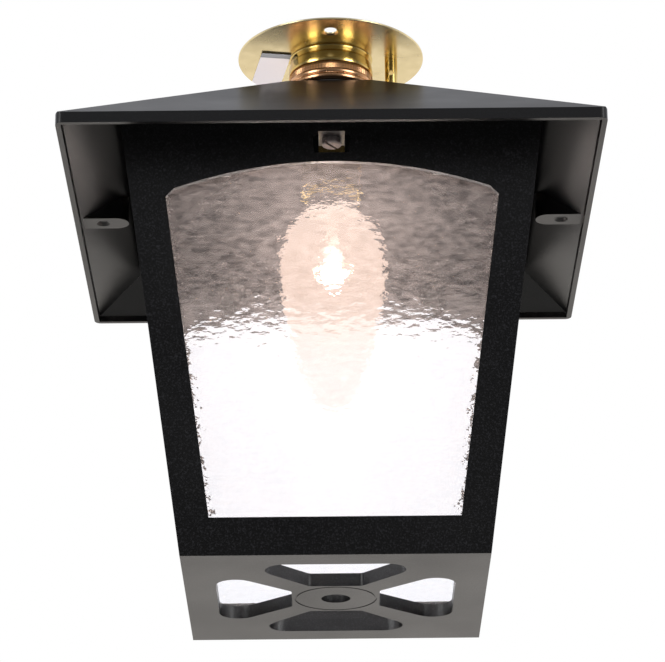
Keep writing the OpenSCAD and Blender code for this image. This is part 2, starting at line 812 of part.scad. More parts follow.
module glass_clips() {
    color("#9a9a96") for (k = [0:3]) on_side(k) for (x = [-1, 1])
        translate([x * clip_x, wall + glass_t, clip_up * stretch]) difference() {
            translate([-clip_w / 2, 0, -clip_down])
                cube([clip_w, clip_t, clip_down + clip_screw_d / 2 + 1.6]);
            rotate([-90, 0, 0]) translate([0, 0, -1])
                cylinder(r = clip_screw_d / 2 + hole_play, h = clip_t + 2);
        }
}

module glass_clip_screws() {
    head = clip_screw_d;
    color("#8f8f8b") for (k = [0:3]) on_side(k) for (x = [-1, 1])
        translate([x * clip_x, wall + glass_t + clip_t, clip_up * stretch]) rotate([-90, 0, 0]) difference() {
            union() {
                bore(clip_screw_d / 2, -clip_t - glass_t - 0.8, 0.5);
                cylinder(r1 = head, r2 = head * 0.7, h = 1.7);
            }
            translate([-head * 1.5, -0.4, 0.9]) cube([head * 3, 0.8, 2]);
        }
}

// ---- Lamp ----

module lamp_cap() {
    color("#c9c6bd") {
        difference() {
            union() {
                rotate_extrude() polygon([
                    [0, z_cap_low], [cap_d / 2, z_cap_low], [cap_d / 2, z_cap - 1],
                    [cap_d / 2 - 1, z_cap], [0, z_cap]
                ]);
                for (side = [0, 180]) rotate([0, 0, side]) translate([cap_d / 2 - 0.8, 0, z_pin])
                    rotate([0, 90, 0]) cylinder(r = pin_d / 2, h = barrel_r - cap_d / 2 + 0.8);
            }
            bore(cap_d / 2 - cap_t, z_cap_low - 1, z_cap - cap_t);
            bore(cap_d / 2 - 3, z_cap - 2, z_cap + 1);
        }
    }
}

module lamp_vitrite() {
    color("#1c1c1e") union() {
        bore(cap_d / 2 - 3 - fit, z_cap - cap_t, z_cap + vitrite_t);
        bore(cap_d / 2 - cap_t - fit, z_cap - cap_t - 1.6, z_cap - cap_t);
    }
}

module lamp_contacts() {
    color("#b5b5b0") for (y = [-1, 1]) translate([0, y * plunger_y, 0])
        bore(plunger_d / 2 + 0.2, z_cap + vitrite_t, z_plunger);
}

// The candle-shaped envelope, high in the shoulder and blunt at the tip.
// Each item is a drop below the cap, as a share of the length, and a share of the widest radius.
function bulb_profile(inset) =
    let (
        shape = [[0, bulb_throat], [0.03, 0.55], [0.06, 0.7], [0.1, 0.85], [0.15, 0.94], [0.2, 0.985],
            [0.26, 1], [0.35, 1], [0.44, 0.97], [0.58, 0.85], [0.67, 0.78], [0.755, 0.7],
            [0.84, 0.57], [0.925, 0.44], [0.96, 0.34], [0.985, 0.2]]
    )
    [for (p = shape) [bulb_d / 2 * p[1] - inset, z_cap_low - (bulb_len - inset) * p[0]]];

module lamp_glass() {
    outer = bulb_profile(0);
    inner = bulb_profile(bulb_t);
    n = len(outer);
    color("#f4efe6", 0.3) rotate_extrude() polygon(concat(
        [[neck_r, z_cap_low + neck_up]], outer, [[0, z_cap_low - bulb_len]],
        [[0, z_cap_low - bulb_len + bulb_t * 1.6]],
        [for (i = [0:n - 1]) inner[n - 1 - i]], [[neck_r - bulb_t, z_cap_low + neck_up]]
    ));
}

// The glass flare and stem that carry the wires inside the lamp.
module lamp_stem() {
    color("#e6e2da", 0.4) rotate_extrude() polygon([
        [0, z_stem], [stem_tip_r, z_stem], [stem_tip_r * 1.4, z_stem + stem_tip_r * 2],
        [stem_tip_r * 1.4, z_cap_low - stem_tip_r], [stem_r, z_cap_low + stem_up],
        [stem_r, z_cap_low + stem_up + stem_t], [0, z_cap_low + stem_up + stem_t]
    ]);
}

module wire(a, b, d) {
    v = b - a;
    translate(a) rotate([0, acos(v.z / norm(v)), atan2(v.y, v.x)]) cylinder(r = d / 2, h = norm(v), $fn = 16);
}

module lamp_wires() {
    w = filament_w / 2;
    color("#b5b5b0") for (side = [-1, 1]) {
        wire([side * (stem_tip_r - wire_d), 0, z_stem - wire_d / 3], [side * w, 0, z_filament], wire_d);
    }
}

module lamp_filament() {
    w = filament_w / 2;
    n = 6;
    color("#ffd9a0") for (i = [0:n - 1]) {
        x0 = -w + filament_w / n * i;
        dip = 2.4;
        z0 = i % 2 == 0 ? 0 : -dip;
        z1 = i % 2 == 0 ? -dip : 0;
        wire([x0, 0, z_filament - 0.4 + z0], [x0 + filament_w / n, 0, z_filament - 0.4 + z1], 0.7);
    }
}

ceiling_disc();
collar_screws();
earth_pillar();
earth_clamp_screw();
holder_collar();
threaded_skirt();
bayonet_barrel();
holder_insulator();
terminal_blocks();
terminal_screws();
plunger_springs();
contact_plungers();
upper_shade_ring();
lower_shade_ring();
roof_gasket();
roof_washer();
roof();
body_casting();
body_screw_front();
body_screw_back();
pane_front();
pane_right();
pane_back();
pane_left();
glass_clips();
glass_clip_screws();
lamp_cap();
lamp_vitrite();
lamp_contacts();
lamp_glass();
lamp_stem();
lamp_wires();
lamp_filament();
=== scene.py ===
# %% [markdown]
# # A porch ceiling lantern
# A square cast lantern hangs from a brass bayonet lampholder. The construction is already made: every
# casting, pane, ring and screw comes in as a fixed frame of meshes at its real size. This lesson gives them
# their looks. Everything is in metres, +Z is up, and the origin is the middle of the ceiling disc's top face.

# %% Load the frame
import bpy
from math import cos, hypot, pi, radians, sin
from mathutils import Matrix, Vector, noise


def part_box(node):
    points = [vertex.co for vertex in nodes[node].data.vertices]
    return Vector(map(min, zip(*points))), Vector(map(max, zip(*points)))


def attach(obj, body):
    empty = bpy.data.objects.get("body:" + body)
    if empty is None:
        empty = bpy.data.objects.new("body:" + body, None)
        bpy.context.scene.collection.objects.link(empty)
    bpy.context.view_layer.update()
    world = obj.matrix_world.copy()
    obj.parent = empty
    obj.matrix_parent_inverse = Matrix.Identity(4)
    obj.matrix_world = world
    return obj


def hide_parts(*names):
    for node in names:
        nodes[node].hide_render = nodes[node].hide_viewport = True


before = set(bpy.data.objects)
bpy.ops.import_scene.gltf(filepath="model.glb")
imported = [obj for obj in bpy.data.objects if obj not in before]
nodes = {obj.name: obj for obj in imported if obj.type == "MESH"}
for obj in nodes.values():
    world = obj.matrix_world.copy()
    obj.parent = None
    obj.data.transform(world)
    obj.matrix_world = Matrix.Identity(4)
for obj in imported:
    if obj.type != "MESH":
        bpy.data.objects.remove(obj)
scene = bpy.context.scene
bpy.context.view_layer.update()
mm = 0.001

# %% [markdown]
# ## The camera
# The photograph was taken from in front and below, looking up. A long lens keeps the upright lines nearly
# parallel. The camera's place and its three turns were worked out from the edges of the roof, body and base.
# The Standard view shows each colour as it is written.

# %% Camera
CAMERA_PLACE = Vector((-0.8, -1246.4, -610.35)) * mm
CAMERA_TILT = radians(21.155)
CAMERA_TURN = radians(-0.022)
CAMERA_ROLL = radians(-0.541)
FOCAL_PIXELS = 3150
FRAME_PIXELS = 665
SENSOR_WIDTH = 36

bpy.ops.object.select_all(action="DESELECT")
bpy.ops.object.camera_add(location=(0, 0, 0))
camera = bpy.context.object
camera.name = "camera"
camera.data.sensor_width = SENSOR_WIDTH
camera.data.lens = SENSOR_WIDTH * FOCAL_PIXELS / FRAME_PIXELS
camera.matrix_world = (
    Matrix.Translation(CAMERA_PLACE)
    @ Matrix.Rotation(CAMERA_TURN, 4, "Z")
    @ Matrix.Rotation(pi / 2 + CAMERA_TILT, 4, "X")
    @ Matrix.Rotation(CAMERA_ROLL, 4, "Z")
)
scene.camera = camera
scene.view_settings.view_transform = "Standard"
print("camera: lens", round(camera.data.lens, 1), "mm")

# %% [markdown]
# ## Helpers for materials
# Colours are picked as sRGB hex values, as a paint program shows them, and Blender wants linear light. One
# small function adds any node, sets its options and links its inputs, so each finish reads as a short list.

# %% Material helpers
def linear(hex_colour):
    """An sRGB hex colour as linear red, green, blue and an alpha of 1."""
    channels = [int(hex_colour[i:i + 2], 16) / 255 for i in (1, 3, 5)]
    return [c / 12.92 if c <= 0.04045 else ((c + 0.055) / 1.055) ** 2.4 for c in channels] + [1.0]


def add(tree, kind, inputs=None, **settings):
    """Adds one node. The settings are the node's own options.

    inputs maps a socket's name or number to a value, or to another node's output.
    """
    node = tree.nodes.new(kind)
    for name, value in settings.items():
        setattr(node, name, value)
    for key, value in (inputs or {}).items():
        if isinstance(value, bpy.types.NodeSocket):
            tree.links.new(value, node.inputs[key])
        else:
            node.inputs[key].default_value = value
    return node


def new_material(name):
    """An empty material with its shader tree and its output."""
    material = bpy.data.materials.new(name)
    material.use_nodes = True
    material.node_tree.nodes.clear()
    output = add(material.node_tree, "ShaderNodeOutputMaterial")
    return material, material.node_tree, output


def place(tree, stretch=(1, 1, 1)):
    """Object coordinates in millimetres, each axis divided by the size that a pattern has along it."""
    where = add(tree, "ShaderNodeTexCoord")
    scale = [1 / mm / s for s in stretch]
    mapping = add(tree, "ShaderNodeMapping", {"Vector": where.outputs["Object"], "Scale": scale})
    return mapping.outputs["Vector"]


print("helpers ready; middle grey is", round(linear("#808080")[0], 3), "in linear light")

# %% [markdown]
# ## Black powder coat
# The roof and the body are aluminium castings with a baked polyester powder coat. It is close to black,
# satin, and has a fine orange peel with tiny grains that catch the light. The grain is drawn about 0.7 mm
# wide, a little coarser than life, so that it shows. The bump gives the broken sheen, the ramp gives the
# paler grains, and a slow cloud makes the gloss wander.

# %% Powder coat
CLOUD_SIZE = 60
GLOSS_SPREAD = 0.05


def powder_coat(name, grain, roughness, speckle, peel_depth):
    """A satin black coat. grain and peel_depth are in millimetres, and speckle colours the grains."""
    material, tree, output = new_material(name)
    fine = add(tree, "ShaderNodeTexNoise", {
        "Vector": place(tree, (grain,) * 3), "Scale": 1.0, "Detail": 2.0, "Roughness": 0.6})
    cloud = add(tree, "ShaderNodeTexNoise", {
        "Vector": place(tree, (CLOUD_SIZE,) * 3), "Scale": 1.0, "Detail": 3.0})
    grains = add(tree, "ShaderNodeValToRGB", {"Fac": fine.outputs["Fac"]})
    grains.color_ramp.elements[0].position = 0.5
    grains.color_ramp.elements[0].color = linear("#040405")
    grains.color_ramp.elements[1].position = 0.76
    grains.color_ramp.elements[1].color = linear(speckle)
    sheen = add(tree, "ShaderNodeMapRange", {
        "Value": cloud.outputs["Fac"], "From Min": 0.3, "From Max": 0.7,
        "To Min": roughness - GLOSS_SPREAD, "To Max": roughness + GLOSS_SPREAD})
    peel = add(tree, "ShaderNodeBump", {
        "Height": fine.outputs["Fac"], "Strength": 0.6, "Distance": peel_depth * mm})
    shader = add(tree, "ShaderNodeBsdfPrincipled", {
        "Base Color": grains.outputs["Color"], "Roughness": sheen.outputs["Result"],
        "Normal": peel.outputs["Normal"], "IOR": 1.5})
    tree.links.new(shader.outputs["BSDF"], output.inputs["Surface"])
    return material


body_coat = powder_coat(
    "black_powder_coat", grain=0.75, roughness=0.34, speckle="#2a2a2e", peel_depth=0.11)
roof_coat = powder_coat(
    "black_powder_coat_smooth", grain=0.7, roughness=0.34, speckle="#151518", peel_depth=0.05)
print("coats:", body_coat.name, "and", roof_coat.name)

# %% [markdown]
# ## Brass
# The ceiling disc is lacquered sheet brass with a satin shine. The lampholder is turned brass, and its shade
# rings are a redder brass. Fine marks left by the lathe run round each piece, so their pattern depends on
# the height and hardly changes round the piece. A slow noise mixes two tones, because lacquer is never the
# same all over.

# %% Brass
SMEAR_SIZE = (9, 9, 9)
LATHE_MARK_SIZE = (40, 40, 0.25)


def brass(name, colour, tarnish, roughness, marks):
    """Brass between two tones, with lathe marks of the given strength."""
    material, tree, output = new_material(name)
    smear = add(tree, "ShaderNodeTexNoise", {
        "Vector": place(tree, SMEAR_SIZE), "Scale": 1.0, "Detail": 4.0})
    lathe = add(tree, "ShaderNodeTexNoise", {
        "Vector": place(tree, LATHE_MARK_SIZE), "Scale": 1.0, "Detail": 2.0})
    tone = add(tree, "ShaderNodeMix", {0: smear.outputs["Fac"], 6: linear(colour), 7: linear(tarnish)},
               data_type="RGBA")
    dull = add(tree, "ShaderNodeMapRange", {
        "Value": smear.outputs["Fac"], "From Min": 0.35, "From Max": 0.7,
        "To Min": roughness * 0.85, "To Max": roughness * 1.2})
    grooves = add(tree, "ShaderNodeBump", {
        "Height": lathe.outputs["Fac"], "Strength": marks, "Distance": 0.02 * mm})
    shader = add(tree, "ShaderNodeBsdfPrincipled", {
        "Base Color": tone.outputs[2], "Metallic": 1.0, "Roughness": dull.outputs["Result"],
        "Normal": grooves.outputs["Normal"]})
    tree.links.new(shader.outputs["BSDF"], output.inputs["Surface"])
    return material


sheet_brass = brass("lacquered_sheet_brass", "#f1e2b8", "#e6d3a0", roughness=0.24, marks=0.05)
turned_brass = brass("turned_yellow_brass", "#e8cf8a", "#d3b263", roughness=0.22, marks=0.2)
rose_brass = brass("turned_rose_brass", "#e6b78e", "#d39f74", roughness=0.25, marks=0.1)
print("brasses: sheet, turned and rose")

# %% [markdown]
# ## Steel, porcelain, rubber and small parts
# The small parts share one recipe: a plain surface whose roughness wanders slightly, with a fine bump. Only
# the colour, the gloss, the size of the grain and whether it is a metal differ.

# %% Small-part finishes
def plain(name, colour, roughness, metallic, grain, bump, ior=1.5):
    """A plain finish. grain is in millimetres, and bump is the strength of its relief."""
    material, tree, output = new_material(name)
    wander = add(tree, "ShaderNodeTexNoise", {
        "Vector": place(tree, (grain,) * 3), "Scale": 1.0, "Detail": 3.0})
    shade = add(tree, "ShaderNodeMapRange", {
        "Value": wander.outputs["Fac"], "From Min": 0.3, "From Max": 0.7,
        "To Min": roughness * 0.85, "To Max": roughness * 1.2})
    texture = add(tree, "ShaderNodeBump", {
        "Height": wander.outputs["Fac"], "Strength": bump, "Distance": 0.05 * mm})
    shader = add(tree, "ShaderNodeBsdfPrincipled", {
        "Base Color": linear(colour), "Metallic": metallic, "Roughness": shade.outputs["Result"],
        "Normal": texture.outputs["Normal"]})
    if not metallic:
        shader.inputs["IOR"].default_value = ior
    tree.links.new(shader.outputs["BSDF"], output.inputs["Surface"])
    return material


zinc_steel = plain("zinc_plated_steel", "#8f8684", roughness=0.5, metallic=1.0, grain=1.5, bump=0.2)
spring_steel = plain("plain_spring_steel", "#a9a8a6", roughness=0.35, metallic=1.0, grain=1.0, bump=0.2)
porcelain = plain("glazed_porcelain", "#f0ece2", roughness=0.12, metallic=0.0, grain=6, bump=0.1)
rubber = plain("black_rubber", "#161616", roughness=0.75, metallic=0.0, grain=0.6, bump=0.4)
nickel = plain("nickel_plate", "#cfcac0", roughness=0.22, metallic=1.0, grain=2.0, bump=0.1)
vitrite = plain("black_vitrite_glass", "#101012", roughness=0.1, metallic=0.0, grain=3.0, bump=0.1)
solder = plain("soft_solder", "#b9b8b4", roughness=0.4, metallic=1.0, grain=0.8, bump=0.5)
print("small finishes: 7")

# %% [markdown]
# ## Rippled glass
# The panes are clear cathedral glass. The ripples themselves are modelled further on, so the material holds
# only the clear body, a finer bump and a thin haze. The haze is what dust and the rolled face scatter: a few
# hundredths of matt white in the mix, which the lamp lights from inside. It lies in level streaks. Where the
# pane is nearest to the lamp, extra haze paints the lamp's soft halo, a glow of light, into the glass.
# A glass blocks lamps in the renderer, so the material turns clear for shadow rays. The IOR is below real
# glass, which keeps the view through it pale.

# %% Glass
STREAK_SIZE = (5, 5, 1.7)
FINE_WAVE_SIZE = (2.4, 2.4, 1.1)
HALO_REACH = 24
filament_low, filament_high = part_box("lamp_filament")
filament_middle = (filament_low + filament_high) / 2
pane_low, pane_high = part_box("pane_front")
pane_distance = -(pane_low.y + pane_high.y) / 2 / mm


def pane_material(name, ior, roughness, least_haze, most_haze, painted_halo):
    """Clear glass with streaks of haze, and extra haze near the filament that paints the lamp's halo."""
    material, tree, output = new_material(name)
    streaks = add(tree, "ShaderNodeTexNoise", {
        "Vector": place(tree, STREAK_SIZE), "Scale": 1.0, "Detail": 3.0, "Roughness": 0.6})
    streaky = add(tree, "ShaderNodeMapRange", {
        "Value": streaks.outputs["Fac"], "From Min": 0.38, "From Max": 0.62,
        "To Min": least_haze, "To Max": most_haze})
    offset = add(tree, "ShaderNodeVectorMath", {0: place(tree), 1: filament_middle / mm},
                 operation="DISTANCE")
    # Extra haze near the filament paints the lamp's halo, a glow of light, into the glass.
    near = add(tree, "ShaderNodeMapRange", {
        "Value": offset.outputs["Value"], "From Min": pane_distance, "From Max": pane_distance + HALO_REACH,
        "To Min": painted_halo, "To Max": 0.0}, interpolation_type="SMOOTHSTEP")
    haze_and_halo = add(tree, "ShaderNodeMath", {0: streaky.outputs["Result"], 1: near.outputs["Result"]},
               operation="ADD")
    fine = add(tree, "ShaderNodeTexNoise", {
        "Vector": place(tree, FINE_WAVE_SIZE), "Scale": 1.0, "Detail": 1.0})
    bump = add(tree, "ShaderNodeBump", {
        "Height": fine.outputs["Fac"], "Strength": 1.0, "Distance": 0.1 * mm})
    clear = add(tree, "ShaderNodeBsdfPrincipled", {
        "Base Color": linear("#ffffff"), "Transmission Weight": 1.0, "Roughness": roughness, "IOR": ior,
        "Normal": bump.outputs["Normal"]})
    front = add(tree, "ShaderNodeBsdfDiffuse", {"Color": linear("#f4efee")})
    through = add(tree, "ShaderNodeBsdfTranslucent", {"Color": linear("#fff0ea")})
    dust_and_halo = add(tree, "ShaderNodeMixShader", {0: 0.6, 1: front.outputs["BSDF"], 2: through.outputs["BSDF"]})
    hazy_with_halo = add(tree, "ShaderNodeMixShader", {
        0: haze_and_halo.outputs[0], 1: clear.outputs["BSDF"], 2: dust_and_halo.outputs["Shader"]})
    rays = add(tree, "ShaderNodeLightPath")
    open_to_light = add(tree, "ShaderNodeBsdfTransparent")
    both = add(tree, "ShaderNodeMixShader", {
        0: rays.outputs["Is Shadow Ray"], 1: hazy_with_halo.outputs["Shader"], 2: open_to_light.outputs["BSDF"]})
    tree.links.new(both.outputs["Shader"], output.inputs["Surface"])
    return material


pane_glass = pane_material(
    "rippled_cathedral_glass", ior=1.38, roughness=0.02, least_haze=0.016, most_haze=0.06, painted_halo=0.028)
print("glass:", pane_glass.name, "with panes", round(pane_distance, 1), "mm from the lamp's axis")

# %% [markdown]
# ## The lit lamp's glass
# The lamp's glass glows peach, strongest where it is nearest to the filament, so its strength falls with the
# distance from there, and its colour turns paler. A ray crosses four surfaces on its way through the lamp,
# so each surface is mostly clear. Like the panes, it turns clear for shadow rays.

# %% Lamp glass
PALER_FROM = 26
PALER_TO = 46


def glowing_glass(name, colour, far_colour, wall_alpha, near, far, near_glow, far_glow):
    """Glass that glows by its distance from the filament. near and far are in millimetres."""
    material, tree, output = new_material(name)
    offset = add(tree, "ShaderNodeVectorMath", {0: place(tree), 1: filament_middle / mm},
                 operation="DISTANCE")
    strength = add(tree, "ShaderNodeMapRange", {
        "Value": offset.outputs["Value"], "From Min": near, "From Max": far,
        "To Min": near_glow, "To Max": far_glow}, interpolation_type="SMOOTHSTEP")
    paler = add(tree, "ShaderNodeMapRange", {
        "Value": offset.outputs["Value"], "From Min": PALER_FROM, "From Max": PALER_TO})
    light = add(tree, "ShaderNodeMix", {
        0: paler.outputs["Result"], 6: linear(colour), 7: linear(far_colour)}, data_type="RGBA")
    shader = add(tree, "ShaderNodeBsdfPrincipled", {
        "Base Color": linear("#4a3830"), "Roughness": 0.25, "IOR": 1.4, "Alpha": wall_alpha,
        "Emission Color": light.outputs[2], "Emission Strength": strength.outputs["Result"]})
    rays = add(tree, "ShaderNodeLightPath")
    open_to_light = add(tree, "ShaderNodeBsdfTransparent")
    both = add(tree, "ShaderNodeMixShader", {
        0: rays.outputs["Is Shadow Ray"], 1: shader.outputs["BSDF"], 2: open_to_light.outputs["BSDF"]})
    tree.links.new(both.outputs["Shader"], output.inputs["Surface"])
    return material


lamp_glass = glowing_glass("glowing_lamp_glass", "#ffe1ce", "#fffaf4", wall_alpha=0.25, near=20, far=34,
                           near_glow=0.88, far_glow=0.78)
stem_glass = glowing_glass("glowing_stem_glass", "#ffe6d4", "#fff3ea", wall_alpha=0.3, near=5, far=24,
                           near_glow=2.2, far_glow=0.6)
print("glowing glass:", lamp_glass.name, "and", stem_glass.name)

# %% [markdown]
# ## The filament
# The filament glows so brightly that the camera sees only white. A noise makes it glow a little unevenly,
# as a wound wire does.

# %% Filament
def glow(name, colour, strength):
    """A wire that glows by the given strength, a fifth more or less from place to place."""
    material, tree, output = new_material(name)
    flicker = add(tree, "ShaderNodeTexNoise", {"Vector": place(tree, (1, 1, 1)), "Scale": 1.0})
    level = add(tree, "ShaderNodeMapRange", {
        "Value": flicker.outputs["Fac"], "To Min": strength * 0.8, "To Max": strength * 1.2})
    shader = add(tree, "ShaderNodeBsdfPrincipled", {
        "Base Color": linear(colour), "Emission Color": linear(colour),
        "Emission Strength": level.outputs["Result"]})
    tree.links.new(shader.outputs["BSDF"], output.inputs["Surface"])
    return material


filament_glow = glow("lit_filament", "#ffe2b4", strength=60)
print("filament at height", round(filament_middle.z / mm, 1), "mm")

# %% [markdown]
# ## Dress the frame
# Each node of the frame gets the finish of the real piece.

# %% Assign finishes
FINISHES = {
    "ceiling_disc": sheet_brass,
    "holder_collar": turned_brass, "threaded_skirt": turned_brass, "bayonet_barrel": turned_brass,
    "earth_pillar": turned_brass, "collar_screws": turned_brass, "terminal_blocks": turned_brass,
    "contact_plungers": turned_brass,
    "upper_shade_ring": rose_brass, "lower_shade_ring": rose_brass,
    "earth_clamp_screw": zinc_steel, "terminal_screws": zinc_steel, "roof_washer": zinc_steel,
    "body_screw_front": zinc_steel, "body_screw_back": zinc_steel, "glass_clip_screws": zinc_steel,
    "glass_clips": spring_steel, "plunger_springs": spring_steel,
    "holder_insulator": porcelain, "roof_gasket": rubber,
    "roof": roof_coat, "body_casting": body_coat,
    "pane_front": pane_glass, "pane_right": pane_glass, "pane_back": pane_glass, "pane_left": pane_glass,
    "lamp_cap": nickel, "lamp_vitrite": vitrite, "lamp_contacts": solder, "lamp_glass": lamp_glass,
    "lamp_stem": stem_glass, "lamp_wires": nickel, "lamp_filament": filament_glow,
}
for name, finish in FINISHES.items():
    nodes[name].data.materials.clear()
    nodes[name].data.materials.append(finish)
print("finishes:", len(FINISHES), "of", len(nodes), "nodes")

# %% [markdown]
# ## Crisp lit edges on the castings
# A cast edge is never perfectly sharp. A copy of each casting has its loose triangles joined, its flat faces
# merged, and its edges rounded by about half a millimetre, so that every edge draws a thin line of light. A
# weighted normal modifier then keeps the large faces flat in the shading. Without it, the rounding would
# bend the light right across them.

# %% Castings with rounded edges
SAME_PLACE = 0.001 * mm
FLAT_WITHIN = radians(0.5)
SHARP_EDGE = radians(30)
SMOOTH_WITHIN = radians(50)
ROOF_ROUNDING = 0.6 * mm
BODY_ROUNDING = 0.5 * mm


def joined_copy(node, name):
    """A copy of a CAD node with its triangles joined into clean faces."""
    piece = bpy.data.objects.new(name, nodes[node].data.copy())
    scene.collection.objects.link(piece)
    bpy.ops.object.select_all(action="DESELECT")
    piece.select_set(True)
    bpy.context.view_layer.objects.active = piece
    bpy.ops.mesh.customdata_custom_splitnormals_clear()
    bpy.ops.object.mode_set(mode="EDIT")
    bpy.ops.mesh.select_all(action="SELECT")
    bpy.ops.mesh.remove_doubles(threshold=SAME_PLACE)
    bpy.ops.mesh.dissolve_limited(angle_limit=FLAT_WITHIN)
    bpy.ops.object.mode_set(mode="OBJECT")
    return piece


def round_edges(piece, width, segments=2):
    """Rounds every sharp edge, and keeps the large faces flat in the shading."""
    bevel = piece.modifiers.new("edges", "BEVEL")
    bevel.width = width
    bevel.segments = segments
    bevel.limit_method = "ANGLE"
    bevel.angle_limit = SHARP_EDGE
    bevel.use_clamp_overlap = True
    bpy.ops.object.modifier_apply(modifier=bevel.name)
    bpy.ops.object.shade_smooth_by_angle(angle=SMOOTH_WITHIN)
    flat = piece.modifiers.new("flat faces", "WEIGHTED_NORMAL")
    flat.keep_sharp = True
    bpy.ops.object.modifier_apply(modifier=flat.name)


castings = []
for node, body, width in (("roof", "roof_unit", ROOF_ROUNDING), ("body_casting", "body_unit", BODY_ROUNDING)):
    casting = joined_copy(node, node + "_rounded")
    round_edges(casting, width)
    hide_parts(node)
    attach(casting, body)
    castings.append(casting)
    print(casting.name, len(casting.data.polygons), "faces")

# %% [markdown]
# ## Painted shade in the screw's notch
# The flared notch round the front screw gets a dull, near-black finish that hardly reflects, so it paints
# shade into the notch. The notch's faces are found by their place round the screw, and they get this second,
# dull finish. The flange's top face and the large faces of the body are left out.

# %% Notch
NOTCH_HALF_WIDTH = 9.5 * mm
NOTCH_HEIGHT = 11 * mm
NOTCH_DEPTH = 8 * mm
TOP_FACE_MARGIN = 0.2 * mm
LARGEST_NOTCH_FACE = (NOTCH_HALF_WIDTH * 2) ** 2
# The notch's finish is painted shade: dull, near-black and with little reflection.
notch_painted_shade = plain("notch_painted_shade_coat", "#0b0b0c", roughness=0.9, metallic=0.0, grain=0.8, bump=0.3, ior=1.15)
casting = bpy.data.objects["body_casting_rounded"]
casting.data.materials.append(notch_painted_shade)
screw_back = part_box("body_screw_front")[1].y
flange_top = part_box("body_casting")[1].z
notch_faces = 0
for face in casting.data.polygons:
    in_notch = (abs(face.center.x) < NOTCH_HALF_WIDTH and face.center.y < screw_back + NOTCH_DEPTH
                and flange_top - NOTCH_HEIGHT < face.center.z < flange_top - TOP_FACE_MARGIN
                and face.area < LARGEST_NOTCH_FACE)
    if in_notch:
        face.material_index = 1
        notch_faces += 1
# These faces carry the notch's painted shade.
print("notch:", notch_faces, "faces with the thin coat")

# %% [markdown]
# ## Rounded shoulders on the collar
# The shoulders of the lampholder's collar are round, so each catches a soft box as a bright spot. The two
# helpers that dressed the castings round them by about two millimetres.

# %% Collar
COLLAR_ROUNDING = 2.2 * mm
COLLAR_SEGMENTS = 5
collar = joined_copy("holder_collar", "holder_collar_spun")
round_edges(collar, COLLAR_ROUNDING, COLLAR_SEGMENTS)
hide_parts("holder_collar")
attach(collar, "holder")
print(collar.name, len(collar.data.polygons), "faces")

# %% [markdown]
# ## Ripples in the panes
# Rolled glass has one rippled face: level waves, here about four millimetres long, two high and up to 0.3
# deep. They bend what lies behind into short level streaks. A bump could fake them, but real waves also show
# at the glass's edge and in its mesh. The outer face of each pane is cut into a fine grid, and each point
# sinks by a smooth noise. Nothing stands out of the pane's own place, because the points only move inwards.
# Two rounds of cuts make the grid, since 19 cuts and then 11 divide each edge into 20 times 12 parts.

# %% Rippled panes
RIPPLE_DEPTH = 0.3 * mm
RIPPLE_LENGTH = 4.4 * mm
RIPPLE_HEIGHT = 1.9 * mm
FINE_RIPPLE_SHARE = 0.4
GRID_CUTS = (19, 11)
NOISE_STEP = 7.3


def select_face(mesh, face):
    """Selects one face of a mesh with its own corners and edges, and nothing else."""
    corners = set(face.vertices)
    for vertex in mesh.vertices:
        vertex.select = vertex.index in corners
    for edge in mesh.edges:
        edge.select = corners.issuperset(edge.vertices)
    for other in mesh.polygons:
        other.select = other.index == face.index


def rippled_pane(node, seed):
    """A copy of a pane with a rippled outer face. seed is the pane's own layer of the noise."""
    low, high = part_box(node)
    middle = (low + high) / 2
    outward = Vector((middle.x, middle.y, 0)).normalized()
    across = Vector((-outward.y, outward.x, 0))
    piece = joined_copy(node, node + "_rippled")
    mesh = piece.data
    face = max(mesh.polygons, key=lambda f: f.normal.dot(outward) * f.area)
    normal = face.normal.copy()
    anchor = mesh.vertices[face.vertices[0]].co.copy()
    select_face(mesh, face)
    bpy.ops.object.mode_set(mode="EDIT")
    for cuts in GRID_CUTS:
        bpy.ops.mesh.subdivide(number_cuts=cuts)
    bpy.ops.object.mode_set(mode="OBJECT")
    for vertex in mesh.vertices:
        if abs((vertex.co - anchor).dot(normal)) < SAME_PLACE:
            spot = Vector((vertex.co.dot(across) / RIPPLE_LENGTH, vertex.co.z / RIPPLE_HEIGHT, seed))
            wave = noise.noise(spot) + FINE_RIPPLE_SHARE * noise.noise(spot * 2)
            vertex.co -= normal * RIPPLE_DEPTH * min(max(0.5 + 0.5 * wave, 0), 1)
    bpy.ops.object.shade_smooth_by_angle(angle=radians(40))
    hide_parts(node)
    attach(piece, "body_unit")
    return piece


panes = []
for count, node in enumerate(("pane_front", "pane_right", "pane_back", "pane_left")):
    pane = rippled_pane(node, NOISE_STEP * count)
    panes.append(pane)
    print(pane.name, len(pane.data.polygons), "faces")

# %% [markdown]
# ## The lamp's glass
# Blown glass has no facets. The frame's envelope is a stack of cones, so a joined copy is shaded smooth
# across them.

# %% Lamp envelope
envelope = joined_copy("lamp_glass", "lamp_glass_blown")
bpy.ops.object.shade_smooth_by_angle(angle=radians(60))
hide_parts("lamp_glass")
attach(envelope, "lamp")
print(envelope.name, len(envelope.data.polygons), "faces")
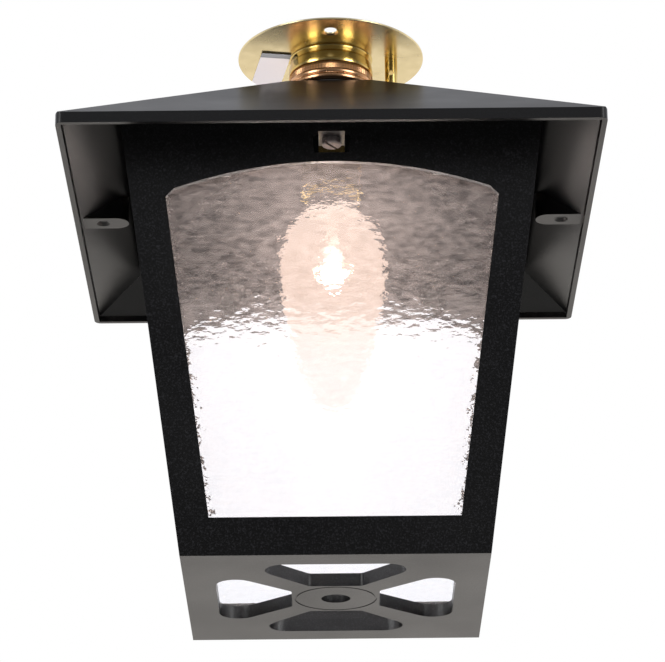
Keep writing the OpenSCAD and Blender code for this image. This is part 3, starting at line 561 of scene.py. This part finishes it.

# %% [markdown]
# ## The label's paper
# The label is white paper. A grey band across its front end, where the end curls away from the disc, is
# painted shade. The band is a threshold on the place along the label, and a faint felt of fibres gives the
# paper its grain.

# %% Label paper
def label_paper(name, direction, shade_band_end):
    """White paper with a band of painted shade up to the given end, which is in millimetres along the
    direction.
    """
    material, tree, output = new_material(name)
    along = add(tree, "ShaderNodeVectorMath", {0: place(tree), 1: direction}, operation="DOT_PRODUCT")
    in_painted_shade = add(tree, "ShaderNodeMath", {0: along.outputs["Value"], 1: shade_band_end}, operation="LESS_THAN")
    tone = add(tree, "ShaderNodeMix", {
        0: in_painted_shade.outputs[0], 6: linear("#fdf4f6"), 7: linear("#8e8e92")}, data_type="RGBA")
    fibres = add(tree, "ShaderNodeTexNoise", {
        "Vector": place(tree, (0.5, 0.5, 0.5)), "Scale": 1.0, "Detail": 2.0})
    felt = add(tree, "ShaderNodeBump", {
        "Height": fibres.outputs["Fac"], "Strength": 0.2, "Distance": 0.03 * mm})
    shader = add(tree, "ShaderNodeBsdfPrincipled", {
        "Base Color": tone.outputs[2], "Roughness": 0.5, "Normal": felt.outputs["Normal"]})
    tree.links.new(shader.outputs["BSDF"], output.inputs["Surface"])
    return material


LABEL_TURN = radians(10)
LABEL_FRONT = Vector((-23.4, -8.6)) * mm
# The band at the label's front end is painted shade.
LABEL_SHADE_BAND = 5 * mm
label_along = Vector((-sin(LABEL_TURN), cos(LABEL_TURN)))
shade_band_end = (LABEL_FRONT.dot(label_along) + LABEL_SHADE_BAND) / mm
paper = label_paper("white_label_paper", label_along.to_3d(), shade_band_end)
print("paper:", paper.name, "with a band of", round(LABEL_SHADE_BAND / mm, 1), "mm")

# %% [markdown]
# ## A blank label
# A narrow paper label is stuck under the disc at the left, a little askew, and runs to the disc's edge. A
# grid is scaled and turned into place, its points past the edge are drawn in to the edge, and its front end
# curls down slightly. Points that then meet are merged, and Solidify gives the paper its thickness.

# %% Label
LABEL_WIDTH = 13 * mm
LABEL_LENGTH = 38 * mm
LABEL_THICKNESS = 0.12 * mm
LABEL_EDGE_GAP = 0.3 * mm
CURL_DROP = 0.5 * mm
CURL_LENGTH = 4 * mm
MEETING = 0.01 * mm
disc_low, disc_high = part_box("ceiling_disc")
label_edge = disc_high.x - LABEL_EDGE_GAP
label_middle = LABEL_FRONT + label_along * LABEL_LENGTH / 2

bpy.ops.object.select_all(action="DESELECT")
bpy.ops.mesh.primitive_grid_add(x_subdivisions=14, y_subdivisions=32, size=1, rotation=(0, 0, LABEL_TURN),
                                location=(label_middle.x, label_middle.y, disc_low.z - LABEL_THICKNESS))
label = bpy.context.object
label.name = "blank_label"
label.scale = (LABEL_WIDTH, LABEL_LENGTH, 1)
bpy.ops.object.transform_apply(location=True, rotation=True, scale=True)
for vertex in label.data.vertices:
    reach = hypot(vertex.co.x, vertex.co.y)
    if reach > label_edge:
        vertex.co.xy *= label_edge / reach
    from_front = (vertex.co.xy - LABEL_FRONT).dot(label_along)
    vertex.co.z -= CURL_DROP * max(0, 1 - from_front / CURL_LENGTH) ** 2
bpy.ops.object.mode_set(mode="EDIT")
bpy.ops.mesh.select_all(action="SELECT")
bpy.ops.mesh.remove_doubles(threshold=MEETING)
bpy.ops.mesh.normals_make_consistent(inside=False)
bpy.ops.object.mode_set(mode="OBJECT")
thick = label.modifiers.new("paper", "SOLIDIFY")
thick.thickness = LABEL_THICKNESS
thick.offset = 0
bpy.ops.object.modifier_apply(modifier=thick.name)
bpy.ops.object.shade_smooth_by_angle(angle=radians(40))
label.data.materials.append(paper)
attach(label, "holder")
print("label:", round(LABEL_LENGTH / mm), "by", round(LABEL_WIDTH / mm, 1), "mm")

# %% [markdown]
# ## The world
# The studio is white behind the lantern and dim in front. Polished metal shows all of that, so the world
# gives reflected rays that picture, a touch warmer below and cooler above: in front it is darkest level with
# the lantern and below, and behind it dims overhead. The camera sees plain white, also through the glass.
# Every other ray gets an even grey light, so that colours render as they are written.

# %% World
AMBIENT = 0.55
FRONT_BELOW, FRONT_ABOVE = 0.08, 0.4
BACK_BELOW, BACK_ABOVE = 1.0, 0.45
world = bpy.data.worlds.new("studio")
scene.world = world
world.use_nodes = True
sky = world.node_tree
sky.nodes.clear()
direction = add(sky, "ShaderNodeTexCoord").outputs["Generated"]
axes = add(sky, "ShaderNodeSeparateXYZ", {0: direction})
from_back = add(sky, "ShaderNodeMapRange", {"Value": axes.outputs["Y"], "From Min": -0.25, "From Max": 0.25})
front_level = add(sky, "ShaderNodeMapRange", {
    "Value": axes.outputs["Z"], "From Min": 0.12, "From Max": 0.4,
    "To Min": FRONT_BELOW, "To Max": FRONT_ABOVE})
back_level = add(sky, "ShaderNodeMapRange", {
    "Value": axes.outputs["Z"], "From Min": 0.5, "From Max": 0.68,
    "To Min": BACK_BELOW, "To Max": BACK_ABOVE})
mirrored = add(sky, "ShaderNodeMix", {
    0: from_back.outputs["Result"], 2: front_level.outputs["Result"], 3: back_level.outputs["Result"]})
rays = add(sky, "ShaderNodeLightPath")
clear_view = add(sky, "ShaderNodeMath", {
    0: rays.outputs["Is Camera Ray"], 1: rays.outputs["Is Transmission Ray"]}, operation="MAXIMUM")
unseen_level = add(sky, "ShaderNodeMix", {
    0: rays.outputs["Is Glossy Ray"], 2: AMBIENT, 3: mirrored.outputs[0]})
level = add(sky, "ShaderNodeMix", {0: clear_view.outputs[0], 2: unseen_level.outputs[0], 3: 1.0})
upward = add(sky, "ShaderNodeMapRange", {"Value": axes.outputs["Z"], "From Min": -0.2, "From Max": 0.2})
mirrored_tint = add(sky, "ShaderNodeMix", {
    0: upward.outputs["Result"], 6: linear("#fff9f2"), 7: linear("#f8f9ff")}, data_type="RGBA")
tint = add(sky, "ShaderNodeMix", {
    0: rays.outputs["Is Glossy Ray"], 6: linear("#ffffff"), 7: mirrored_tint.outputs[2]}, data_type="RGBA")
background = add(sky, "ShaderNodeBackground", {"Color": tint.outputs[2], "Strength": level.outputs[0]})
add(sky, "ShaderNodeOutputWorld", {"Surface": background.outputs["Background"]})
print("world: ambient", AMBIENT)

# %% [markdown]
# ## Soft boxes
# Two tall soft boxes stand at the front left and right, centred at the height of the ceiling disc. Each
# draws one upright streak on every round brass piece. The black castings take far less of that light in the
# photograph, so they get a smaller and weaker pair of their own, a little higher. Light linking keeps each
# pair to its pieces.

# %% Soft boxes
SOFT_BOX_DISTANCE = 1.6
SOFT_BOX_AIM = Vector((0, 0, -120)) * mm
FRONT_AZIMUTH = 48


def soft_box(name, azimuth, elevation, width, height, power):
    """A soft box that faces the lantern. Azimuth 0 is in front, and 90 is on the right."""
    a, e = radians(azimuth), radians(elevation)
    offset = Vector((sin(a) * cos(e), -cos(a) * cos(e), sin(e))) * SOFT_BOX_DISTANCE
    bpy.ops.object.light_add(type="AREA", location=SOFT_BOX_AIM + offset)
    light = bpy.context.object
    light.name = name
    light.data.shape = "RECTANGLE"
    light.data.size = width
    light.data.size_y = height
    light.data.energy = power
    light.rotation_euler = offset.to_track_quat("Z", "Y").to_euler()
    return light


def light_only(light, pieces):
    """Links a light to the pieces that it lights."""
    lit = bpy.data.collections.new(light.name + "_receivers")
    for piece in pieces:
        lit.objects.link(piece)
    light.light_linking.receiver_collection = lit


pieces = [piece for piece in scene.objects if piece.type == "MESH"]
not_castings = [piece for piece in pieces if piece not in castings]
for side, azimuth in (("left", -FRONT_AZIMUTH), ("right", FRONT_AZIMUTH)):
    bright = soft_box("soft_box_" + side, azimuth, elevation=4, width=0.6, height=1.4, power=15)
    light_only(bright, not_castings)
    dim = soft_box("soft_box_on_castings_" + side, azimuth, elevation=12, width=0.5, height=0.9, power=6)
    light_only(dim, castings)
print("soft boxes: two on", len(castings), "castings and two on", len(not_castings), "other pieces")

# %% [markdown]
# ## The lamp's own light
# A tiny bright mesh would make a grainy picture, so a small point lamp at the filament lights the inside of
# the lantern. It is hidden from reflections, because the glowing glass round it is what a shiny surface
# really shows. A photograph of a lit lamp is exposed for the glass and not for the metal round it, so the
# panes get the full light and all else gets a weaker copy. The lamp's own glass gets neither, because it
# glows by itself.

# %% Lamp light
LAMP_LIGHT_RADIUS = 5 * mm


def lamp_light(name, power, pieces):
    """A small light at the filament that lights only the pieces given."""
    bpy.ops.object.light_add(type="POINT", location=filament_middle)
    light = bpy.context.object
    light.name = name
    light.data.energy = power
    light.data.color = linear("#ffeee6")[:3]
    light.data.shadow_soft_size = LAMP_LIGHT_RADIUS
    light.visible_glossy = False
    light_only(light, pieces)


own_glass = [piece for piece in pieces if piece.name.startswith(("lamp_glass", "lamp_stem"))]
others = [piece for piece in pieces if piece not in panes + own_glass]
lamp_light("lamp_light_on_glass", power=1.0, pieces=panes)
lamp_light("lamp_light_on_metal", power=0.2, pieces=others)
print("lamp light: on", len(panes), "panes and, weaker, on", len(others), "pieces")

# %% [markdown]
# ## A light for the label
# The label faces down, so the other soft boxes only graze it. One more stands behind and below, as the bright
# backdrop does, and lights only the label.

# %% Label light
label_light = soft_box("soft_box_back", 180, elevation=-14, width=1.2, height=0.6, power=50)
label_light.visible_glossy = False
light_only(label_light, [label])
print("label light:", label_light.name)

# %% [markdown]
# ## The floor
# A plain pale floor lies well below, so that it blocks no view of the lantern from underneath.

# %% Floor
FLOOR_DEPTH = 2.4
FLOOR_SIZE = 6
bpy.ops.mesh.primitive_plane_add(size=FLOOR_SIZE, location=(0, 0, -FLOOR_DEPTH))
floor = bpy.context.object
floor.name = "floor"
floor_paint, tree, output = new_material("pale_floor")
shader = add(tree, "ShaderNodeBsdfPrincipled", {"Base Color": linear("#e6e4e0"), "Roughness": 0.8})
tree.links.new(shader.outputs["BSDF"], output.inputs["Surface"])
floor.data.materials.append(floor_paint)
print("floor:", FLOOR_DEPTH, "m down")

# %% [markdown]
# ## Done
# Every piece has its finish, and the lights, world and floor are in place.

# %% Done
print("scene dressed")
